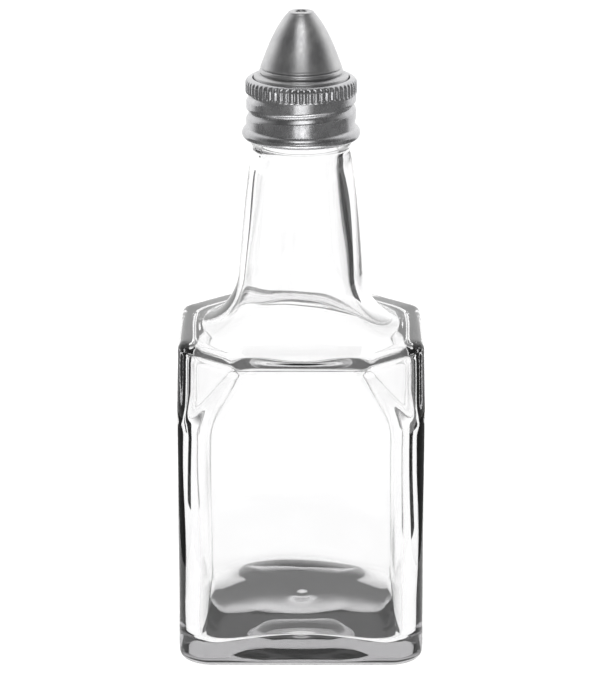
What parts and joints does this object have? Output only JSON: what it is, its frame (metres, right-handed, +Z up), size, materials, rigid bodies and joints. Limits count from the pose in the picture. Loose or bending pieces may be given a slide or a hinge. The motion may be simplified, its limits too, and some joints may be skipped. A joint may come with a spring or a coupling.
{
  "type": "oil and vinegar cruet",
  "caption": "Square clear glass cruet with a faceted shoulder and a steel screw collar that holds a cone pourer.",
  "frame": {"origin": "centre of the base, on the surface that it stands on", "axes": "+Z up along the neck's axis, -Y towards the front face, +X to the right of it"},
  "size_m": [0.061, 0.061, 0.161],
  "materials": {
    "clear_glass": "clear, polished",
    "collar_steel": "satin, rolled",
    "cone_steel": "satin, turned",
    "liner": "matte"
  },
  "bodies": {
    "bottle": {"glass_bottle": "clear_glass"},
    "spout": {"pour_cone": "cone_steel", "seal_washer": "liner"},
    "collar": {"cap_collar": "collar_steel"}
  },
  "joints": [
    {"name": "cap_lift", "type": "slide", "parent": "bottle", "child": "spout", "axis": [0, 0, 1], "range_m": [0, 0.0045]},
    {"name": "collar_turn", "type": "hinge", "parent": "spout", "child": "collar", "pos_m": [0, 0, 0.137], "axis": [0, 0, 1], "range_deg": [0, 378]}
  ],
  "couplings": [
    {"joint": "cap_lift", "follows": "collar_turn", "m_per_rad": 0.00067322}
  ]
}
